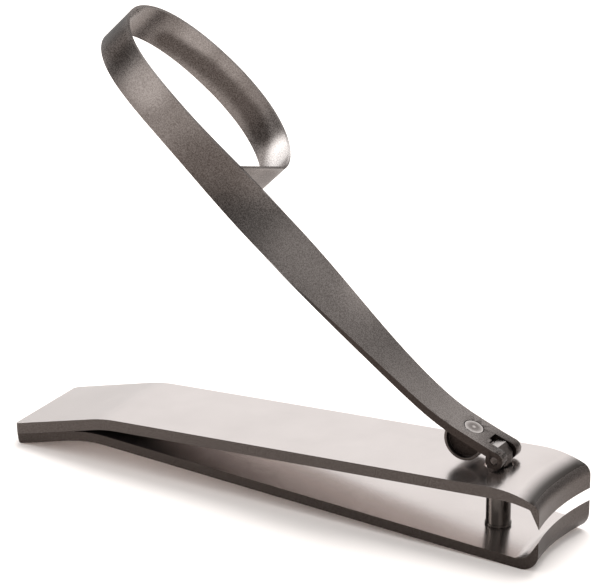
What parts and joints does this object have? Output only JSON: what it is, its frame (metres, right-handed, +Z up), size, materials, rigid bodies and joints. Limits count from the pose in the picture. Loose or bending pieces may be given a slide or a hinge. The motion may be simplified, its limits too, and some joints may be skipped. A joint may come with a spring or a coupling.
{
  "type": "nail clipper",
  "caption": "Lever nail clipper with two joined spring blades, a swivelling pivot pin, and a long twisted lever that ends in a finger ring.",
  "frame": {"origin": "on the ground, at the middle of the rear end of the joined blades", "axes": "+X along the blades towards the cutting edges, +Y across the blades, +Z up, along the pivot pin"},
  "size_m": [0.08, 0.0165, 0.0633],
  "materials": {
    "blade_steel": "satin",
    "lever_steel": "matte bead-blasted",
    "pin_steel": "polished"
  },
  "bodies": {
    "base": {"lower_blade": "blade_steel"},
    "jaw": {"upper_blade": "blade_steel"},
    "pin": {"pivot_pin": "pin_steel"},
    "cross": {"hinge_pin": "pin_steel"},
    "handle": {"lever": "lever_steel", "fulcrum_shoe": "lever_steel", "shoe_rivet": "pin_steel"}
  },
  "joints": [
    {"name": "jaw_close", "type": "hinge", "parent": "base", "child": "jaw", "pos_m": [0.0108, 0, 0.0041], "axis": [0, 1, 0], "range_deg": [0, 1.35], "stiffness_Nm_per_rad": 2, "springref_deg": -1.15},
    {"name": "pin_swivel", "type": "hinge", "parent": "base", "child": "pin", "pos_m": [0.0706, 0, 0.005], "axis": [0, 0, 1], "continuous": true},
    {"name": "lever_fold", "type": "hinge", "parent": "pin", "child": "cross", "pos_m": [0.0711, 0, 0.0116], "axis": [0, 1, 0], "range_deg": [0, 139]},
    {"name": "lever_press", "type": "hinge", "parent": "cross", "child": "handle", "pos_m": [0.0711, 0, 0.0116], "axis": [0, -1, 0], "range_deg": [0, 18]}
  ],
  "couplings": [
    {"joint": "lever_press", "follows": "jaw_close", "ratio": 13.33}
  ]
}
